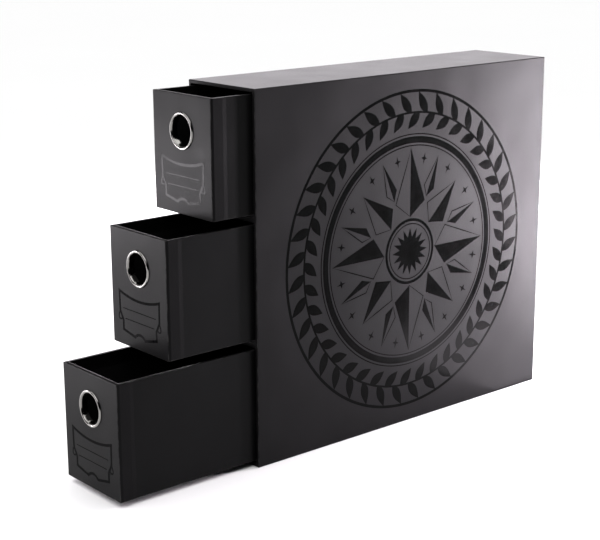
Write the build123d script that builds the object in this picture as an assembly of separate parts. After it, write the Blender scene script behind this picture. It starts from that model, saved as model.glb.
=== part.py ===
"""Trading card drawer box: a wrapped rigid-board case with three drawers, one above the other.

All sizes are in millimetres. The origin is at the centre of the case's underside, +Z is up, the
drawers come out towards -Y, and +X is the case's right side as seen from the front.
The drawers are drawn as they stand in use, each pulled out a little further than the one above.
"""

import os

from build123d import *

# ---------------------------------------------------------------- driving dimensions

# materials
PAPER = 0.25                # wrapping and lining paper, and its glue
CASE_BOARD = 2.5            # grey board of the case's sides, top, bottom and rear
SHELF_BOARD = 4.0           # grey board of the two shelves
DRAWER_BOARD = 2.5          # grey board of a drawer's sides, rear and bottom
FRONT_BOARD = 3.5           # grey board of a drawer's front
FLOOR_CARD = 2.0            # card that a drawer slides on

# drawers, over their paper
DRAWER_WIDTH = 77.6
DRAWER_HEIGHT = 98.0
DRAWER_LENGTH = 346.0
FRONT_FLAP = 15.5           # how far the front's paper is turned on to the sides
DRAWER_TURN_IN = 12.0       # how far the paper is turned down inside a drawer
DRAWER_UNDER_TURN = 14.0    # how far the front's paper is turned under a drawer
DRAWER_EDGE_RADIUS = 0.6    # wrapped edges of a drawer

# how the drawers stand, from the top one to the bottom one
PULLED_OUT = {"top": 39.8, "middle": 85.8, "bottom": 135.3}

# clearances between a drawer and its bay
SIDE_GAP = 2.0              # each side
HEAD_GAP = 1.5              # over the drawer
REAR_GAP = 1.0              # behind the drawer when its front is flush with the case

# case
CASE_EDGE_RADIUS = 0.8      # outer wrapped edges
MOUTH_EDGE_RADIUS = 0.5     # inner wrapped edges round the mouth
CASE_TURN_IN = 16.0         # how far the paper is turned in round the mouth
SHEET_INSET = 3.0           # the base and rear sheets' edges inside the case's edges
SHELF_SETBACK = 0.5         # a shelf's front edge behind the case's
SHELF_EDGE_RADIUS = 0.9     # wrapped front edges of a shelf
CARD_SETBACK = 1.5          # a floor card's front edge behind the shelf's
CARD_SIDE_GAP = 0.25        # a floor card's edge to the case's lining

# finger eyelet
EYELET_BORE = 25.5          # clear hole for the finger
EYELET_SHEET = 0.5          # metal thickness of the barrel
EYELET_FLANGE = 2.75        # width of the domed front ring, from the bore outwards
EYELET_DOME = 1.2           # how far the ring stands proud of the front
EYELET_DROP = 29.7          # its centre below the drawer's top edge
EYELET_CURL = 1.6           # width of the rolled rear rim, from the bore outwards
EYELET_CURL_DEPTH = 0.8     # how far the rolled rim stands behind the washer
EYELET_FIT = 0.2            # barrel to board and washer, all round
WASHER_THICKNESS = 0.5
WASHER_WIDTH = 2.4          # from the washer's hole outwards

# ---------------------------------------------------------------- sizes that follow

DRAWER_NAMES = ("bottom", "middle", "top")

WALL = CASE_BOARD + 2 * PAPER
SHELF = SHELF_BOARD + 2 * PAPER
BAY_WIDTH = DRAWER_WIDTH + 2 * SIDE_GAP
BAY_HEIGHT = FLOOR_CARD + DRAWER_HEIGHT + HEAD_GAP
BAY_DEPTH = DRAWER_LENGTH + REAR_GAP
BAY_PITCH = BAY_HEIGHT + SHELF

CASE_WIDTH = BAY_WIDTH + 2 * WALL
CASE_DEPTH = BAY_DEPTH + WALL
CASE_HEIGHT = 2 * WALL + len(DRAWER_NAMES) * BAY_HEIGHT + (len(DRAWER_NAMES) - 1) * SHELF
FRONT_Y = -CASE_DEPTH / 2
REAR_Y = CASE_DEPTH / 2
BAY_REAR_Y = FRONT_Y + BAY_DEPTH
CASE_FOOT = PAPER           # the wrapped case stands on its base sheet
CASE_TOP = CASE_FOOT + CASE_HEIGHT

DRAWER_FRONT = FRONT_BOARD + 2 * PAPER
DRAWER_WALL = DRAWER_BOARD + 2 * PAPER
BODY_WIDTH = DRAWER_WIDTH - 2 * PAPER
EYELET_Z = DRAWER_HEIGHT - EYELET_DROP
BARREL_RADIUS = EYELET_BORE / 2 + EYELET_SHEET
HOLE_RADIUS = BARREL_RADIUS + EYELET_FIT
CUT_PAST = 1.0              # how far a cutting shape runs past what it cuts
NEAR = 0.01                 # how close an edge lies to the plane or block that it is looked for in


# ---------------------------------------------------------------- shapes used more than once

def block(x0, x1, y0, y1, z0, z1):
    """A plain box between two corners."""
    size = Box(x1 - x0, y1 - y0, z1 - z0)
    return Pos((x0 + x1) / 2, (y0 + y1) / 2, (z0 + z1) / 2) * size


def inner(limits, wall):
    """The limits of a block drawn in on every side by one wall."""
    x0, x1, y0, y1, z0, z1 = limits
    return (x0 + wall, x1 - wall, y0 + wall, y1 - wall, z0 + wall, z1 - wall)


def rounded(limits, radius):
    """A box with every edge rounded."""
    box = block(*limits)
    return fillet(box.edges(), radius)


def edges_in_plane(shape, axis, place, limits):
    """The edges that lie in one plane and within a block."""
    x0, x1, y0, y1, z0, z1 = limits
    found = ShapeList()
    for edge in shape.edges().filter_by_position(axis, place - NEAR, place + NEAR):
        centre = edge.center()
        within_x = x0 - NEAR < centre.X < x1 + NEAR
        within_y = y0 - NEAR < centre.Y < y1 + NEAR
        within_z = z0 - NEAR < centre.Z < z1 + NEAR
        if within_x and within_y and within_z:
            found.append(edge)
    return found


# ---------------------------------------------------------------- case

def case_shell(outer, mouth, edge_radius, mouth_radius):
    """A box open towards -Y, with rounded outer edges and a rounded mouth."""
    x0, x1, y0, y1, z0, z1 = mouth
    shell = rounded(outer, edge_radius) - block(x0, x1, y0 - CUT_PAST, y1, z0, z1)
    return fillet(edges_in_plane(shell, Axis.Y, outer[2], mouth), mouth_radius)


def case_parts():
    """The case's boards, papers, shelves and floor cards."""
    half = CASE_WIDTH / 2
    outer = (-half, half, FRONT_Y, REAR_Y, CASE_FOOT, CASE_TOP)
    bay_half = BAY_WIDTH / 2
    mouth = (-bay_half, bay_half, FRONT_Y, BAY_REAR_Y, CASE_FOOT + WALL, CASE_TOP - WALL)
    wrapped = case_shell(outer, mouth, CASE_EDGE_RADIUS, MOUTH_EDGE_RADIUS)

    board_outer = inner(outer, PAPER)
    board_mouth = inner(mouth, -PAPER)
    x0, x1, y0, y1, z0, z1 = board_outer
    board_mouth = board_mouth[:2] + (y0,) + board_mouth[3:]
    boards = case_shell(board_outer, board_mouth, CASE_EDGE_RADIUS - PAPER, MOUTH_EDGE_RADIUS - PAPER)
    mx0, mx1, _, my1, mz0, mz1 = board_mouth

    parts = {
        "case_left_board": boards & block(x0, mx0, y0, y1, z0, z1),
        "case_right_board": boards & block(mx1, x1, y0, y1, z0, z1),
        "case_bottom_board": boards & block(mx0, mx1, y0, y1, z0, mz0),
        "case_top_board": boards & block(mx0, mx1, y0, y1, mz1, z1),
        "case_back_board": boards & block(mx0, mx1, my1, y1, mz0, mz1),
    }

    papers = wrapped - boards
    lined = block(mx0, mx1, FRONT_Y + CASE_TURN_IN, my1, mz0, mz1)
    parts["case_wrap"] = papers - lined
    parts["case_lining"] = papers & lined

    sheet_half = half - SHEET_INSET
    sheet_y0, sheet_y1 = FRONT_Y + SHEET_INSET, REAR_Y - SHEET_INSET
    sheet_z0, sheet_z1 = CASE_FOOT + SHEET_INSET, CASE_TOP - SHEET_INSET
    parts["case_base_sheet"] = block(-sheet_half, sheet_half, sheet_y0, sheet_y1, 0, PAPER)
    parts["case_rear_sheet"] = block(-sheet_half, sheet_half, REAR_Y, REAR_Y + PAPER, sheet_z0, sheet_z1)
    return parts


def shelf_parts(name, underside):
    """One shelf: a board in a folded paper, front edge rounded, between the case's lined sides."""
    half = BAY_WIDTH / 2
    front = FRONT_Y + SHELF_SETBACK
    limits = (-half, half, front, BAY_REAR_Y, underside, underside + SHELF)
    wrapped = block(*limits)
    wrapped = fillet(wrapped.edges().filter_by(Axis.X).group_by(Axis.Y)[0], SHELF_EDGE_RADIUS)
    board = block(-half, half, front + PAPER, BAY_REAR_Y, underside + PAPER, underside + SHELF - PAPER)
    board = fillet(board.edges().filter_by(Axis.X).group_by(Axis.Y)[0], SHELF_EDGE_RADIUS - PAPER)
    return {name + "_shelf_board": board, name + "_shelf_wrap": wrapped - board}


def floor_card(floor):
    """The card that a drawer slides on."""
    half = BAY_WIDTH / 2 - CARD_SIDE_GAP
    front = FRONT_Y + SHELF_SETBACK + CARD_SETBACK
    return block(-half, half, front, BAY_REAR_Y, floor, floor + FLOOR_CARD)


# ---------------------------------------------------------------- drawer

def tray(outer, hollow, radius, rim_radius):
    """An open-topped box with rounded outer edges and a rounded inner rim."""
    x0, x1, y0, y1, z0, _ = hollow
    top = outer[5]
    shape = rounded(outer, radius) - block(x0, x1, y0, y1, z0, top + CUT_PAST)
    return fillet(edges_in_plane(shape, Axis.Z, top, (x0, x1, y0, y1, z0, top)), rim_radius)


def eyelet_axis(distance):
    """A placement on the eyelet's axis, a distance behind the drawer's front, looking backwards."""
    return Plane(origin=(0, distance, EYELET_Z), x_dir=(1, 0, 0), z_dir=(0, 1, 0))


def round_hole(radius):
    """The cut through a drawer's front for the eyelet."""
    length = DRAWER_FRONT + 2 * CUT_PAST
    hole = Cylinder(radius, length, align=(Align.CENTER, Align.CENTER, Align.MIN))
    return eyelet_axis(-CUT_PAST) * hole


def eyelet():
    """Domed front ring, barrel through the front, and rear rim rolled over the washer."""
    bore = EYELET_BORE / 2
    flange = bore + EYELET_FLANGE
    curl = bore + EYELET_CURL
    seat = DRAWER_FRONT + WASHER_THICKNESS
    profile = [
        ThreePointArc((flange, 0), ((flange + bore) / 2, -EYELET_DOME), (bore, 0)),
        Line((bore, 0), (bore, seat)),
        ThreePointArc((bore, seat), ((bore + curl) / 2, seat + EYELET_CURL_DEPTH), (curl, seat)),
        Line((curl, seat), (BARREL_RADIUS, seat)),
        Line((BARREL_RADIUS, seat), (BARREL_RADIUS, 0)),
        Line((BARREL_RADIUS, 0), (flange, 0)),
    ]
    section = Plane(origin=(0, 0, EYELET_Z), x_dir=(1, 0, 0), z_dir=(0, 0, 1)) * make_face(profile)
    return revolve(section, Axis((0, 0, EYELET_Z), (0, 1, 0)), 360)


def eyelet_washer():
    """The flat ring behind the front."""
    hole = BARREL_RADIUS + EYELET_FIT
    ring = Circle(hole + WASHER_WIDTH) - Circle(hole)
    return extrude(eyelet_axis(DRAWER_FRONT) * ring, WASHER_THICKNESS, dir=(0, 1, 0))


def drawer_hollow():
    """The limits of the lined space inside a drawer."""
    half = BODY_WIDTH / 2 - DRAWER_WALL
    return (-half, half, DRAWER_FRONT, DRAWER_LENGTH - DRAWER_WALL, DRAWER_WALL, DRAWER_HEIGHT)


def wrapped_tray(width):
    """A whole drawer over its paper, as wide as its body or as its front's flaps."""
    outer = (-width / 2, width / 2, 0, DRAWER_LENGTH, 0, DRAWER_HEIGHT)
    whole = tray(outer, drawer_hollow(), DRAWER_EDGE_RADIUS, DRAWER_EDGE_RADIUS)
    return whole - round_hole(HOLE_RADIUS)


def board_tray(outer, hollow):
    """A drawer's five boards in one, under the paper."""
    radius = DRAWER_EDGE_RADIUS - PAPER
    return tray(outer, hollow, radius, radius) - round_hole(HOLE_RADIUS)


def drawer_boards(boards, outer, hollow):
    """The five boards: front and rear run the full width, the bottom lies inside the walls."""
    x0, x1, y0, y1, z0, z1 = outer
    hx0, hx1, hy0, hy1, hz0, _ = hollow
    return {
        "front_board": boards & block(x0, x1, y0, hy0, z0, z1),
        "back_board": boards & block(x0, x1, hy1, y1, z0, z1),
        "left_board": boards & block(x0, hx0, hy0, hy1, z0, z1),
        "right_board": boards & block(hx1, x1, hy0, hy1, z0, z1),
        "bottom_board": boards & block(hx0, hx1, hy0, hy1, z0, hz0),
    }


def drawer_papers(boards, outer, hollow):
    """The front's paper with its flaps, the paper round the body, and the lining."""
    x0, x1, _, _, _, _ = outer
    hx0, hx1, hy0, hy1, hz0, _ = hollow
    half = DRAWER_WIDTH / 2
    body_paper = wrapped_tray(BODY_WIDTH) - boards
    lined = block(hx0, hx1, hy0, hy1, hz0, DRAWER_HEIGHT - DRAWER_TURN_IN)
    lining = body_paper & lined

    front_zone = block(x0, x1, 0, DRAWER_FRONT, PAPER, DRAWER_HEIGHT)
    front_zone = front_zone + block(-half, half, 0, PAPER, 0, DRAWER_HEIGHT)
    front_zone = front_zone + block(x0, x1, 0, DRAWER_UNDER_TURN, 0, PAPER)
    body_wrap = body_paper - lined - front_zone

    front_paper = wrapped_tray(DRAWER_WIDTH) & block(-half, half, 0, FRONT_FLAP, 0, DRAWER_HEIGHT)
    front_wrap = front_paper - boards - lined - body_wrap
    return {"front_wrap": front_wrap, "body_wrap": body_wrap, "lining": lining}


def drawer_parts():
    """One drawer in its own place: front face at Y = 0, underside at Z = 0."""
    half = BODY_WIDTH / 2 - PAPER
    outer = (-half, half, PAPER, DRAWER_LENGTH - PAPER, PAPER, DRAWER_HEIGHT - PAPER)
    hollow = inner(drawer_hollow(), -PAPER)
    boards = board_tray(outer, hollow)
    parts = drawer_boards(boards, outer, hollow)
    parts.update(drawer_papers(boards, outer, hollow))
    parts["eyelet"] = eyelet()
    parts["eyelet_washer"] = eyelet_washer()
    return parts


# ---------------------------------------------------------------- whole box

def bay_floor(index):
    """Height of a bay's floor, counted from the bottom bay."""
    return CASE_FOOT + WALL + index * BAY_PITCH


def all_parts():
    """Every piece in its place, by its node's name."""
    parts = case_parts()
    parts.update(shelf_parts("lower", bay_floor(1) - SHELF))
    parts.update(shelf_parts("upper", bay_floor(2) - SHELF))
    drawer = drawer_parts()
    for index, name in enumerate(DRAWER_NAMES):
        floor = bay_floor(index)
        parts[name + "_bay_floor_card"] = floor_card(floor)
        place = Pos(0, FRONT_Y - PULLED_OUT[name], floor + FLOOR_CARD)
        for piece, shape in drawer.items():
            parts[name + "_drawer_" + piece] = place * shape
    return parts


os.makedirs("parts", exist_ok=True)
for node, shape in all_parts().items():
    export_step(shape.solid(), os.path.join("parts", node + ".step"))
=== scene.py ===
"""Looks of a trading card drawer box: papers, printed ornament, label plaques, eyelets and studio.

The box stands on z = 0, its drawers come out towards -Y and +X is the case's right side.
Lengths are in metres. Places and outer sizes come from the box's own nodes.
"""

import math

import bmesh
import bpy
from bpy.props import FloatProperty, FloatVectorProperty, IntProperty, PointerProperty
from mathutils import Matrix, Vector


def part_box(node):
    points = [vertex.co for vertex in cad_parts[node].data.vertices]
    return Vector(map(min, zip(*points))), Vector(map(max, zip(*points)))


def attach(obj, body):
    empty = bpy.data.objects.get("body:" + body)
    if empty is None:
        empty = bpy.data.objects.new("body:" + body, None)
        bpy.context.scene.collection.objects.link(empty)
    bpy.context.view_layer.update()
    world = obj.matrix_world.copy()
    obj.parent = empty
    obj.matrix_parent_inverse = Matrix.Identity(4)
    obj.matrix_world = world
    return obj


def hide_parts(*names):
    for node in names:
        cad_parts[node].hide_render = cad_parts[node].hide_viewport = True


bl_info = {
    "name": "Trading card drawer box",
    "version": (1, 0, 0),
    "blender": (4, 5, 0),
    "location": "View3D > Sidebar > Drawer box",
    "description": "Papers, printed ornament, label plaques, eyelets and studio of a trading card drawer box",
    "category": "Object",
}

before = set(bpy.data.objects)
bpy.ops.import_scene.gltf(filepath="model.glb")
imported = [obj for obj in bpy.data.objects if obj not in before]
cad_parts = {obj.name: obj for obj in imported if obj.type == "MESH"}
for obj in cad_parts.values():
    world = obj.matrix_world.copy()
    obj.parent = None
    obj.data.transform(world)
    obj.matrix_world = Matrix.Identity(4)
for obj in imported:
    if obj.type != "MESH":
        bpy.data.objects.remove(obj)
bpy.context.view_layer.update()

# ---------------------------------------------------------------- what the frame gives

CASE = "case"
DRAWERS = ("top", "middle", "bottom")
SHELVES = ("upper", "lower")
CASE_BOARDS = ("left", "right", "top", "bottom", "back")
DRAWER_BOARDS = ("front", "back", "left", "right", "bottom")
CASE_LOW, CASE_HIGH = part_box("case_wrap")
CASE_MIDDLE = (CASE_LOW + CASE_HIGH) / 2
RIGHT, UP = Vector((1, 0, 0)), Vector((0, 0, 1))


def drawer_node(drawer, piece):
    """The name of one of a drawer's nodes."""
    return f"{drawer}_drawer_{piece}"


def drawer_body(drawer):
    """The name of the body that a drawer's pieces ride on."""
    return f"{drawer}_drawer"


# ---------------------------------------------------------------- settings

class DrawerBoxPapers(bpy.types.PropertyGroup):
    """Colours and surface sizes of the papers, boards and cards."""

    case_colour: FloatVectorProperty(
        name="Case paper", description="Soft-touch paper round the case",
        default=(0.0057, 0.0054, 0.0059), size=3, subtype="COLOR", min=0, max=1)
    front_colour: FloatVectorProperty(
        name="Front paper", description="Soft-touch paper over the drawers' fronts",
        default=(0.0034, 0.0032, 0.0036), size=3, subtype="COLOR", min=0, max=1)
    drawer_colour: FloatVectorProperty(
        name="Drawer paper", description="Soft-touch paper round the drawers' sides and rear",
        default=(0.0034, 0.0034, 0.0036), size=3, subtype="COLOR", min=0, max=1)
    lining_colour: FloatVectorProperty(
        name="Lining paper", description="Uncoated black paper inside the bays and the drawers",
        default=(0.004, 0.004, 0.0042), size=3, subtype="COLOR", min=0, max=1)
    sheet_colour: FloatVectorProperty(
        name="Sheet paper", description="Flat sheets over the case's base and rear",
        default=(0.0075, 0.0075, 0.0078), size=3, subtype="COLOR", min=0, max=1)
    card_colour: FloatVectorProperty(
        name="Floor card", description="Cards that the drawers slide on",
        default=(0.006, 0.006, 0.0063), size=3, subtype="COLOR", min=0, max=1)
    board_colour: FloatVectorProperty(
        name="Grey board", description="Board under the papers",
        default=(0.31, 0.29, 0.26), size=3, subtype="COLOR", min=0, max=1)
    rubbed_colour: FloatVectorProperty(
        name="Rubbed edge", description="Paper where handling has rubbed an edge",
        default=(0.085, 0.083, 0.082), size=3, subtype="COLOR", min=0, max=1)
    grain: FloatProperty(
        name="Grain", description="Size of the soft-touch coat's grain",
        default=0.00045, min=0.0001, unit="LENGTH")
    rub_width: FloatProperty(
        name="Rub width", description="How far the rubbing reaches in from an edge",
        default=0.0007, min=0, unit="LENGTH")
    corner_width: FloatProperty(
        name="Corner width", description="How far back the front paper slopes behind a drawer's front corner",
        default=0.0028, min=0, unit="LENGTH")
    corner_depth: FloatProperty(
        name="Corner depth", description="How far it falls there",
        default=0.0009, min=0, unit="LENGTH")
    flap_width: FloatProperty(
        name="Flap slope width", description="How wide the slope is where the front paper's flap ends",
        default=0.0036, min=0, unit="LENGTH")
    flap_depth: FloatProperty(
        name="Flap slope depth", description="How far it falls there",
        default=0.00024, min=0, unit="LENGTH")


class DrawerBoxOrnament(bpy.types.PropertyGroup):
    """Sizes of the compass medallion that is printed on the case's sides."""

    radius: FloatProperty(
        name="Radius", description="Outer radius of the medallion",
        default=0.143, min=0.01, unit="LENGTH")
    height: FloatProperty(
        name="Height", description="Height of the medallion's centre over the table",
        default=CASE_MIDDLE.z, min=0, unit="LENGTH")
    bold_line: FloatProperty(
        name="Bold line", description="Width of the main rings",
        default=0.0026, min=0.0001, unit="LENGTH")
    fine_line: FloatProperty(
        name="Fine line", description="Width of the thin rings and outlines",
        default=0.0010, min=0.0001, unit="LENGTH")
    film: FloatProperty(
        name="Film", description="Thickness of the gloss varnish over the paper",
        default=0.00006, min=0.00001, unit="LENGTH")
    leaves: IntProperty(
        name="Leaves", description="Leaves on each side of the wreath's stem",
        default=40, min=3)
    colour: FloatVectorProperty(
        name="Varnish", description="Black under the clear gloss varnish",
        default=(0.002, 0.002, 0.0021), size=3, subtype="COLOR", min=0, max=1)


class DrawerBoxPlaque(bpy.types.PropertyGroup):
    """Sizes of the label plaque that is printed on each drawer's front, up from the drawer's underside."""

    half_width: FloatProperty(
        name="Half width", description="Middle to an upper corner",
        default=0.0280, min=0, unit="LENGTH")
    corner_height: FloatProperty(
        name="Corner height", description="Height of the upper corners",
        default=0.0455, min=0, unit="LENGTH")
    brow_height: FloatProperty(
        name="Brow height", description="Height of the hollow upper edge at its middle",
        default=0.0410, min=0, unit="LENGTH")
    waist_height: FloatProperty(
        name="Waist height", description="Where the sides turn in over the eyes",
        default=0.0285, min=0, unit="LENGTH")
    line: FloatProperty(
        name="Outline", description="Width of the plaque's outline",
        default=0.0023, min=0.0001, unit="LENGTH")
    rule: FloatProperty(
        name="Rule", description="Width of the two writing lines",
        default=0.0007, min=0.0001, unit="LENGTH")
    eye_width: FloatProperty(
        name="Eye width", description="Width of the drop-shaped eye at each side",
        default=0.0052, min=0, unit="LENGTH")
    eye_height: FloatProperty(
        name="Eye height", description="Height of the drop-shaped eye at each side",
        default=0.0078, min=0, unit="LENGTH")
    film: FloatProperty(
        name="Film", description="Thickness of the gloss varnish over the paper",
        default=0.00006, min=0.00001, unit="LENGTH")
    colour: FloatVectorProperty(
        name="Varnish", description="Black under the clear gloss varnish",
        default=(0.002, 0.002, 0.0021), size=3, subtype="COLOR", min=0, max=1)


class DrawerBoxEyelet(bpy.types.PropertyGroup):
    """Sizes and colour of the finger eyelets."""

    bore: FloatProperty(
        name="Bore", description="Radius of the clear hole",
        default=0.01275, min=0.001, unit="LENGTH")
    sheet: FloatProperty(
        name="Sheet", description="Thickness of the drawn metal",
        default=0.0005, min=0.0001, unit="LENGTH")
    colour: FloatVectorProperty(
        name="Nickel", description="Colour of the polished plating",
        default=(0.22, 0.215, 0.205), size=3, subtype="COLOR", min=0, max=1)
    steps: IntProperty(
        name="Steps", description="Steps round the eyelet",
        default=128, min=12)


class DrawerBoxStudio(bpy.types.PropertyGroup):
    """Camera, floor and soft lights."""

    camera_place: FloatVectorProperty(
        name="Camera place", description="Where the camera stands",
        default=(0.9286, -0.88173, 0.46482), size=3, subtype="TRANSLATION", unit="LENGTH")
    camera_pitch: FloatProperty(
        name="Camera pitch", description="How far the camera looks down",
        default=math.radians(14.483), subtype="ANGLE")
    camera_yaw: FloatProperty(
        name="Camera yaw", description="How far the camera is turned from looking along +Y",
        default=math.radians(49.594), subtype="ANGLE")
    camera_roll: FloatProperty(
        name="Camera roll", description="How far the camera is tilted about its line of sight",
        default=math.radians(-0.263), subtype="ANGLE")
    lens: FloatProperty(
        name="Lens", description="Focal length on a 36 mm wide sensor, in millimetres",
        default=86.29, min=1, unit="CAMERA")
    floor_colour: FloatVectorProperty(
        name="Floor", description="Colour of the plain floor",
        default=(0.95, 0.95, 0.95), size=3, subtype="COLOR", min=0, max=1)
    floor_width: FloatProperty(
        name="Floor width", description="Width of the floor",
        default=30.0, min=1, unit="LENGTH")
    overhead_light: FloatProperty(
        name="Overhead light", description="Strength of the soft light from above",
        default=3.35, min=0)
    overhead_breadth: FloatProperty(
        name="Overhead breadth", description="How broad the light from above looks from the table",
        default=math.radians(81), subtype="ANGLE")
    right_rear_light: FloatProperty(
        name="Right rear light", description="Brightness by which the panels on the right are measured",
        default=52.0, min=0)
    left_rear_light: FloatProperty(
        name="Left rear light", description="Brightness of the panel behind the box on its left",
        default=2.93, min=0)
    left_front_light: FloatProperty(
        name="Left front light", description="Brightness by which the other panels are measured",
        default=10.3, min=0)
    right_tint: FloatVectorProperty(
        name="Right tint", description="Colour of the panels on the right",
        default=(1.0, 0.925, 1.0), size=3, subtype="COLOR", min=0, max=1)
    left_tint: FloatVectorProperty(
        name="Left tint", description="Colour of the panels on the left and in front",
        default=(1.0, 0.955, 1.0), size=3, subtype="COLOR", min=0, max=1)
    air_light: FloatProperty(
        name="Air light", description="Brightness of the plain room beyond the floor",
        default=1.0, min=0)


# ---------------------------------------------------------------- node trees

# the Mix node's sockets for colours, whose names its other sockets share
FIRST_COLOUR, SECOND_COLOUR, MIXED_COLOUR = 6, 7, 2


def feed(tree, socket, value):
    """Link a socket to another one, or set its value."""
    if isinstance(value, bpy.types.NodeSocket):
        tree.links.new(value, socket)
    else:
        socket.default_value = value


def add_node(tree, kind, inputs=None, **settings):
    """A node of one kind, with its settings and its inputs."""
    node = tree.nodes.new(kind)
    for name, value in settings.items():
        setattr(node, name, value)
    for name, value in (inputs or {}).items():
        feed(tree, node.inputs[name], value)
    return node


def calculate(tree, operation, *values):
    """The result of one sum on numbers."""
    return add_node(tree, "ShaderNodeMath", dict(enumerate(values)), operation=operation).outputs[0]


def calculate_vector(tree, operation, *values):
    """The result of one sum on vectors."""
    return add_node(tree, "ShaderNodeVectorMath", dict(enumerate(values)), operation=operation).outputs[0]


# ---------------------------------------------------------------- finishes

# A noise's grain is the size of its patches, and a bump's depth how far it rises, both in metres.
MOST = (0.3, 0.7)               # where most of a noise's values lie

# soft-touch paper
COAT_ROUGHNESS = 0.36
COAT_IOR = 1.15                 # low, because the dull coat mirrors little
COAT_CLOUDS = 0.045             # grain of the coat's faint clouds
BOARD_WAVES = 0.060             # grain of the board's waves under it
PAPER_FIBRES = 0.0011           # grain of the fibres that show through it
WORN_PATCHES = 0.007            # grain of the patches in which an edge is worn
RUB_MARKS = 0.004               # grain of the burnished marks, which are long along Y
RUB_STRETCH = (0.12, 1, 0.25)
RUBBED_SHARE = 0.6              # how much of the rubbed colour shows on a worn edge
RUB_SHINE, WEAR_SHINE = 0.05, 0.08      # how much smoother burnished marks and worn edges are
WAVE_DEPTH, FIBRE_DEPTH, GRAIN_DEPTH = 0.0009, 0.00005, 0.00003

# uncoated paper and card
UNCOATED_IOR = 1.24
LINING_FIBRES, LINING_ROUGHNESS = 0.0016, 0.72
CARD_FIBRES, CARD_ROUGHNESS = 0.0024, 0.66
FUZZ_DEPTH, FLECK_DEPTH = 0.00009, 0.00003

# grey board
BOARD_ROUGHNESS = 0.85
PULP, PULP_FLECKS = 0.0024, 0.0009
PULP_DEPTH, PULP_FLECK_DEPTH = 0.00015, 0.00004

# gloss varnish, whose index is low to match the coat's
ORNAMENT_ROUGHNESS, ORNAMENT_IOR = 0.16, 1.10
PLAQUE_ROUGHNESS, PLAQUE_IOR = 0.10, 1.065
VARNISH_FLOW, VARNISH_PEEL = 0.010, 0.0012
FLOW_DEPTH, PEEL_DEPTH = 0.00010, 0.000008

# metals
NICKEL_ROUGHNESS = 0.10
NICKEL_HAZE, HAIRLINES, HAIRLINE_DEPTH = 0.005, 0.0008, 0.000004
STEEL_ROUGHNESS, STEEL_SHARE = 0.38, 0.6        # the washer's steel is this share of the nickel's colour
STEEL_STROKES, STEEL_TARNISH, STROKE_DEPTH = 0.0007, 0.006, 0.000015


def new_finish(name, colour, roughness, ior=1.45, metallic=0.0):
    """A material with its constant values, its node tree, its shader and the piece's coordinates."""
    material = bpy.data.materials.new(name)
    material.use_nodes = True
    tree = material.node_tree
    shader = tree.nodes["Principled BSDF"]
    shader.inputs["Base Color"].default_value = (*colour, 1)
    shader.inputs["Roughness"].default_value = roughness
    shader.inputs["IOR"].default_value = ior
    shader.inputs["Metallic"].default_value = metallic
    place = add_node(tree, "ShaderNodeTexCoord").outputs["Object"]
    return material, tree, shader, place


def noise(tree, place, grain, detail=2.0, stretch=(1, 1, 1)):
    """Noise with grains of one size in metres, which may be stretched along the axes."""
    mapped = add_node(tree, "ShaderNodeMapping", {"Vector": place, "Scale": stretch}).outputs[0]
    texture = add_node(tree, "ShaderNodeTexNoise", {"Vector": mapped, "Scale": 1 / grain, "Detail": detail})
    return texture.outputs["Fac"]


def spread(tree, value, low, high, new_low, new_high):
    """A value carried from one range to another and kept within it."""
    inputs = {"Value": value, "From Min": low, "From Max": high, "To Min": new_low, "To Max": new_high}
    return add_node(tree, "ShaderNodeMapRange", inputs, clamp=True).outputs[0]


def shaded(tree, share, first, second):
    """A colour between two, by a share from 0 to 1."""
    inputs = {"Factor": share, FIRST_COLOUR: first, SECOND_COLOUR: second}
    return add_node(tree, "ShaderNodeMix", inputs, data_type="RGBA").outputs[MIXED_COLOUR]


def toned(colour, factor):
    """A colour made lighter or darker."""
    return (*(channel * factor for channel in colour), 1)


def mottled(tree, share, colour, darkest, lightest):
    """A colour that runs from a darker to a lighter tone of itself, by a share from 0 to 1."""
    return shaded(tree, share, toned(colour, darkest), toned(colour, lightest))


def bumps(tree, shader, *layers):
    """Lay bumps one over another on a shader. A layer is a height from 0 to 1 and its depth in metres."""
    normal = None
    for height, depth in layers:
        node = add_node(tree, "ShaderNodeBump", {"Height": height, "Distance": depth, "Strength": 1.0})
        if normal is not None:
            tree.links.new(normal, node.inputs["Normal"])
        normal = node.outputs[0]
    tree.links.new(normal, shader.inputs["Normal"])


def edge_distance(tree, place, low, high):
    """How far a point on a box is from the box's nearest edge."""
    centre, half = (low + high) / 2, (high - low) / 2
    offset = calculate_vector(tree, "SUBTRACT", place, centre)
    depth = calculate_vector(tree, "SUBTRACT", half, calculate_vector(tree, "ABSOLUTE", offset))
    x, y, z = add_node(tree, "ShaderNodeSeparateXYZ", {"Vector": depth}).outputs
    least = calculate(tree, "MINIMUM", calculate(tree, "MINIMUM", x, y), z)
    most = calculate(tree, "MAXIMUM", calculate(tree, "MAXIMUM", x, y), z)
    total = calculate(tree, "ADD", calculate(tree, "ADD", x, y), z)
    return calculate(tree, "SUBTRACT", calculate(tree, "SUBTRACT", total, least), most)


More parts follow.
